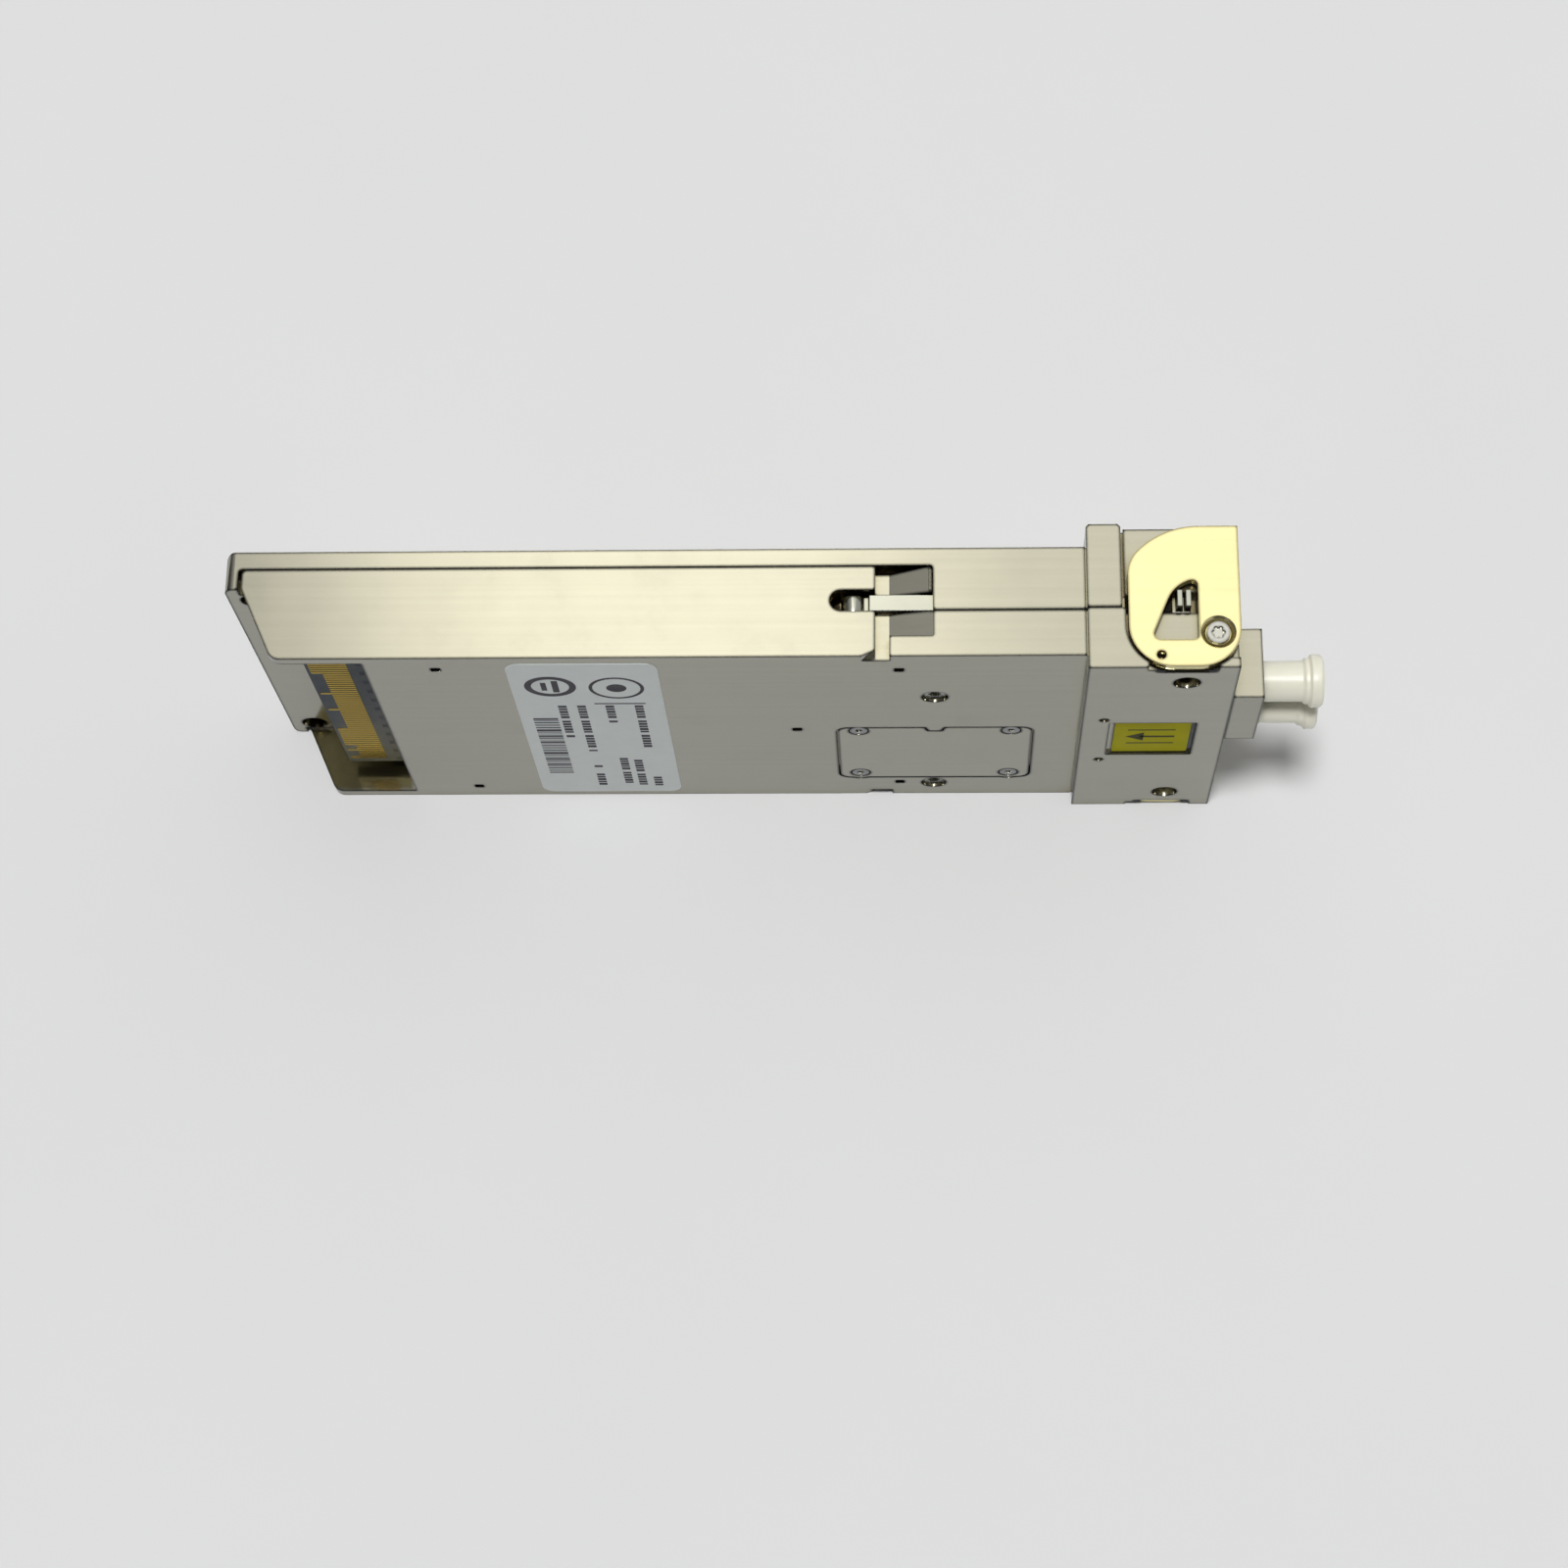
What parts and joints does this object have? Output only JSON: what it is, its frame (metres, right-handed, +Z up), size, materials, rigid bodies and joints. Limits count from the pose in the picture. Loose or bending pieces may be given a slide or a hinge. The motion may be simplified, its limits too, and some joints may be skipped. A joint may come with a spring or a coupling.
{
  "type": "optical transceiver module",
  "caption": "Slim nickel-plated pluggable optical module with a gold pull bail, side latch sliders, an open edge-connector bay and dust-capped duplex fibre ports.",
  "frame": {"origin": "bottom centre of the whole module's box, as it stands on one long narrow side", "axes": "+X along the module from the edge connector to the fibre ports; +Y from the label face to the heat-sink face; +Z up, across the module's width"},
  "size_m": [0.1172, 0.0164, 0.0415],
  "materials": {
    "nickel_housing": "warm bright nickel plate, brushed along its length",
    "nickel_cover": "warm bright nickel plate, satin",
    "screw_steel": "bright steel",
    "slider_steel": "bright spring steel",
    "nickel_receptacle": "warm nickel plate, satin",
    "bail_gold": "pale gold plate, satin",
    "label_paper": "pale grey printed label, matt",
    "label_yellow": "yellow printed film",
    "gasket_rubber": "conductive elastomer",
    "white_ceramic": "polished zirconia",
    "plug_white": "translucent ivory white, soft gloss",
    "board_laminate": "dark slate solder mask",
    "contact_gold": "hard gold over copper",
    "package_green": "organic package laminate",
    "lid_metal": "satin metal lid",
    "package_gold": "gold-plated alloy package",
    "thermal_pad": "soft silicone",
    "flex_amber": "amber polyimide film",
    "connector_ivory": "moulded ivory plastic",
    "inductor_grey": "pressed iron powder",
    "chip_black": "moulded black epoxy",
    "capacitor_tan": "fired ceramic",
    "tray_black": "moulded black plastic",
    "fibre_yellow": "yellow fibre jacket"
  },
  "bodies": {
    "housing": {"top_shell": "nickel_housing", "bottom_shell": "nickel_housing", "access_cover": "nickel_cover", "access_cover_screws": "screw_steel", "shell_screws": "screw_steel", "nose_screws": "screw_steel", "main_label": "label_paper", "nose_label": "label_yellow", "pivot_screw_upper": "screw_steel", "pivot_screw_lower": "screw_steel", "lc_receptacle": "nickel_receptacle", "receptacle_clip": "screw_steel", "port_gasket": "gasket_rubber", "split_sleeves": "white_ceramic", "ferrule_stubs": "white_ceramic", "main_board": "board_laminate", "contacts_label_side": "contact_gold", "contacts_sink_side": "contact_gold", "board_screws": "screw_steel", "signal_processor_base": "package_green", "signal_processor_lid": "lid_metal", "processor_pad": "thermal_pad", "optics_package": "package_gold", "optics_pad": "thermal_pad", "laser_package": "package_gold", "laser_pad": "thermal_pad", "laser_flex": "flex_amber", "flex_connector": "connector_ivory", "power_inductors": "inductor_grey", "power_chips": "chip_black", "ceramic_capacitors": "capacitor_tan", "controller_chip": "chip_black", "reference_oscillator": "lid_metal", "fibre_tray": "tray_black", "transmit_fibre": "fibre_yellow", "receive_fibre": "fibre_yellow", "laser_fibre": "fibre_yellow"},
    "bail": {"bail": "bail_gold"},
    "slider_upper": {"slider_upper": "slider_steel"},
    "slider_lower": {"slider_lower": "slider_steel"},
    "dust_plug_upper": {"dust_plug_upper": "plug_white"},
    "dust_plug_lower": {"dust_plug_lower": "plug_white"}
  },
  "joints": [
    {"name": "bail_swing", "type": "hinge", "parent": "housing", "child": "bail", "pos_m": [0.04665, -0.00419, 0.02075], "axis": [0, 0, -1], "range_deg": [0, 60]},
    {"name": "slider_upper_slide", "type": "slide", "parent": "housing", "child": "slider_upper", "axis": [1, 0, 0], "range_m": [0, 0.0015]},
    {"name": "slider_lower_slide", "type": "slide", "parent": "housing", "child": "slider_lower", "axis": [1, 0, 0], "range_m": [0, 0.0015]},
    {"name": "plug_upper_pull", "type": "slide", "parent": "housing", "child": "dust_plug_upper", "axis": [1, 0, 0], "range_m": [0, 0.0075]},
    {"name": "plug_lower_pull", "type": "slide", "parent": "housing", "child": "dust_plug_lower", "axis": [1, 0, 0], "range_m": [0, 0.0075]}
  ],
  "couplings": [
    {"joint": "slider_upper_slide", "follows": "bail_swing", "m_per_rad": 0.001432},
    {"joint": "slider_lower_slide", "follows": "bail_swing", "m_per_rad": 0.001432}
  ]
}
